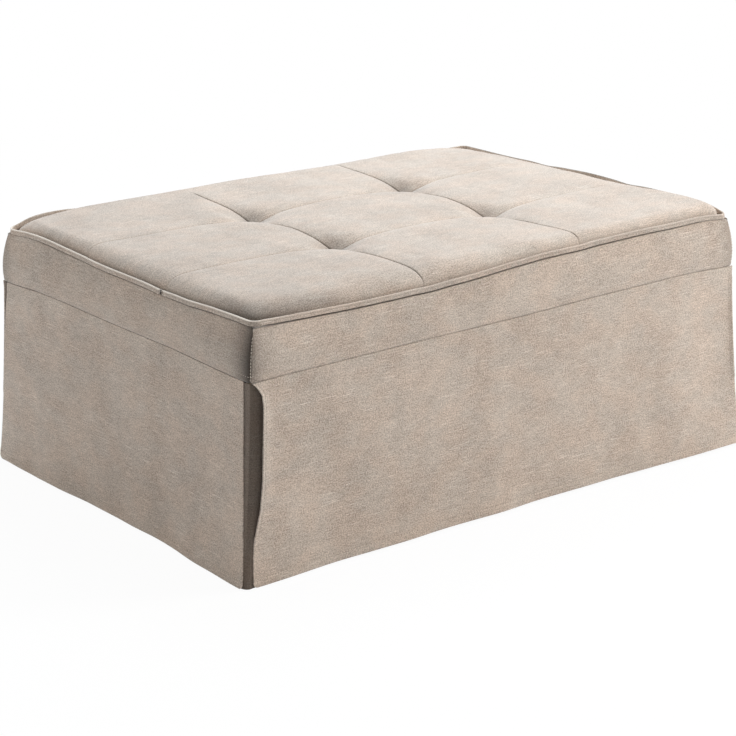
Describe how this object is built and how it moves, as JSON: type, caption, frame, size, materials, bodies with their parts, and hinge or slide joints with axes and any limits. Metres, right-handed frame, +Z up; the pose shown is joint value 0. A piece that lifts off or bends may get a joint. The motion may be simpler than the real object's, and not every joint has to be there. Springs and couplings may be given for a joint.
{
  "type": "fold out ottoman guest bed",
  "caption": "Skirted rectangular ottoman with a tufted lid that flips over onto a pull-out slatted frame to make a level guest bed.",
  "frame": {"origin": "centre of the closed ottoman's footprint, on the floor", "axes": "+X along the ottoman towards the hinge and pull-out end, +Y across it away from its front, +Z up"},
  "size_m": [1.044, 0.726, 0.427],
  "materials": {
    "cover_fabric": "linen weave, matt",
    "pleat_fabric": "linen weave, matt, in shade",
    "ticking": "quilted cotton",
    "webbing": "hook-and-loop tape and waxed twine",
    "plywood": "sanded birch plywood",
    "slat_wood": "lacquered beech",
    "plastic": "moulded",
    "rubber": "matt",
    "painted_steel": "powder coat",
    "zinc_steel": "zinc plate"
  },
  "bodies": {
    "base": {"side_board_front": "plywood", "side_board_back": "plywood", "head_board": "plywood", "hinge_rail": "plywood", "lower_tie": "plywood", "foot_blocks": "plywood", "glides": "plastic", "slat_ledger_front": "painted_steel", "slat_ledger_back": "painted_steel", "bed_slats": "slat_wood", "slat_holders": "plastic", "corner_brackets": "zinc_steel", "runner_channel_front": "zinc_steel", "runner_channel_back": "zinc_steel", "skirt_front": "cover_fabric", "skirt_back": "cover_fabric", "skirt_head": "cover_fabric", "base_tapes": "webbing", "corner_pleats_head": "pleat_fabric", "hinge_base_leaves": "zinc_steel", "base_hinge_screws": "zinc_steel", "hinge_pins": "zinc_steel", "lid_bumpers": "rubber", "head_mattress": "ticking"},
    "runner_middles": {"runner_middle_front": "zinc_steel", "runner_middle_back": "zinc_steel"},
    "pull_out": {"runner_inner_front": "zinc_steel", "runner_inner_back": "zinc_steel", "support_rail_front": "painted_steel", "support_rail_back": "painted_steel", "back_cross_tube": "painted_steel", "castor_cross_tube": "painted_steel", "support_slats": "slat_wood", "end_board": "plywood", "skirt_foot": "cover_fabric", "foot_tape": "webbing", "corner_pleats_foot": "pleat_fabric", "castor_legs": "painted_steel", "castor_forks": "zinc_steel", "castor_axles": "zinc_steel"},
    "wheel_front": {"wheel_hub_front": "plastic", "wheel_tyre_front": "rubber"},
    "wheel_back": {"wheel_hub_back": "plastic", "wheel_tyre_back": "rubber"},
    "lid": {"lid_rim": "plywood", "lid_deck": "plywood", "foot_mattress": "ticking", "top_cushion": "cover_fabric", "boxing_band": "cover_fabric", "top_piping": "cover_fabric", "tuft_twines": "webbing", "tuft_washers": "zinc_steel", "hinge_lid_leaves": "zinc_steel", "lid_hinge_screws": "zinc_steel"}
  },
  "joints": [
    {"name": "lid_flip", "type": "hinge", "parent": "base", "child": "lid", "pos_m": [0.516, 0, 0.317], "axis": [0, 1, 0], "range_deg": [0, 180]},
    {"name": "pull_slide", "type": "slide", "parent": "base", "child": "pull_out", "axis": [1, 0, 0], "range_m": [0, 1.058]},
    {"name": "middle_slide", "type": "slide", "parent": "base", "child": "runner_middles", "axis": [1, 0, 0], "range_m": [0, 0.529]},
    {"name": "wheel_front_spin", "type": "hinge", "parent": "pull_out", "child": "wheel_front", "pos_m": [0.455, -0.26, 0.025], "axis": [0, 1, 0], "continuous": true},
    {"name": "wheel_back_spin", "type": "hinge", "parent": "pull_out", "child": "wheel_back", "pos_m": [0.455, 0.26, 0.025], "axis": [0, 1, 0], "continuous": true}
  ],
  "couplings": [
    {"joint": "middle_slide", "follows": "pull_slide", "ratio": 0.5}
  ]
}
